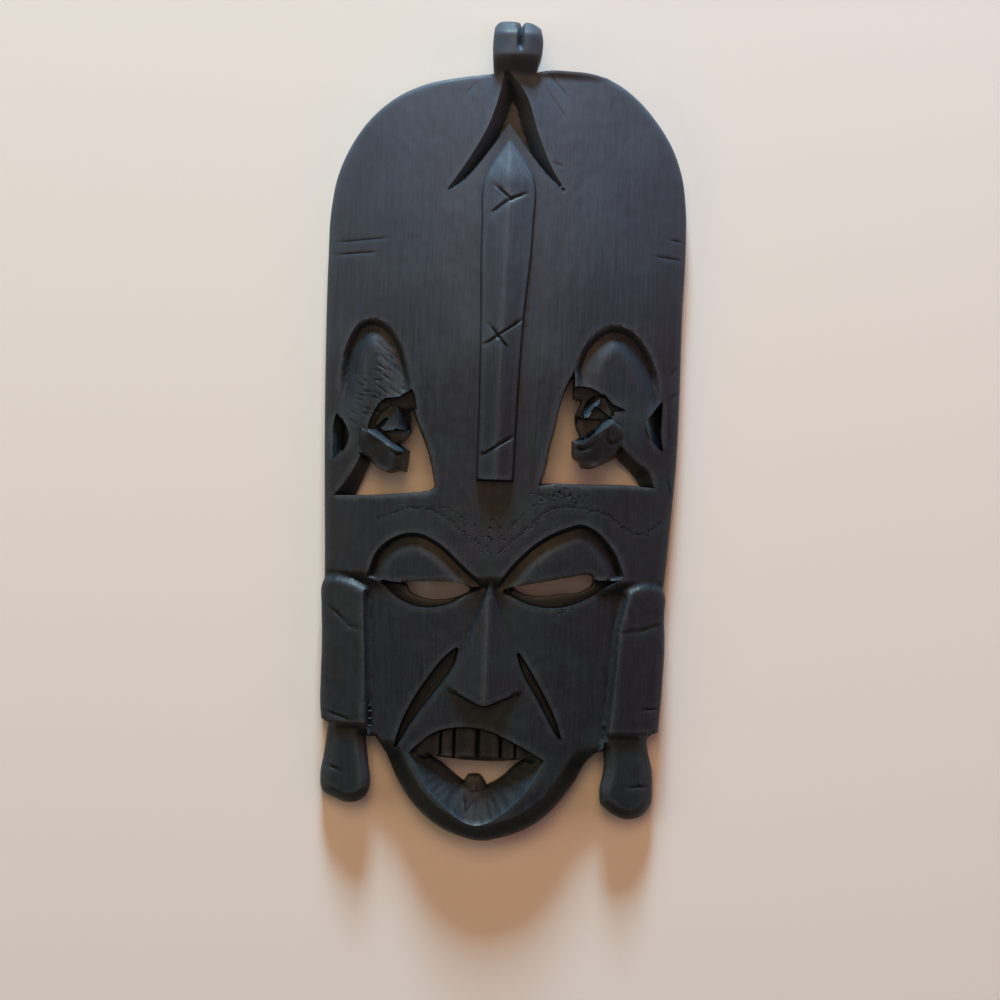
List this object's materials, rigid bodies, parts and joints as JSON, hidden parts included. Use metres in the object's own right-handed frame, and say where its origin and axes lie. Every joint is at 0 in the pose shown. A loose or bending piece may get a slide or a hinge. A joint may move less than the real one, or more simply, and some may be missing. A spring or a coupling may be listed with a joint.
{
  "type": "african mask",
  "caption": "Long carved wooden wall mask: arched forehead board with knob, centre bar and pierced side figures over a slit-eyed face with long ears and open mouth.",
  "frame": {"origin": "under the middle of the mask's outline, on the surface that its back rests on", "axes": "+Z out of the front of the face, +Y from the chin up to the knob, +X to the viewer's right"},
  "size_m": [0.202, 0.46, 0.0448],
  "materials": {
    "black_wood": "satin"
  },
  "bodies": {
    "root": {"mask": "black_wood"}
  },
  "joints": []
}
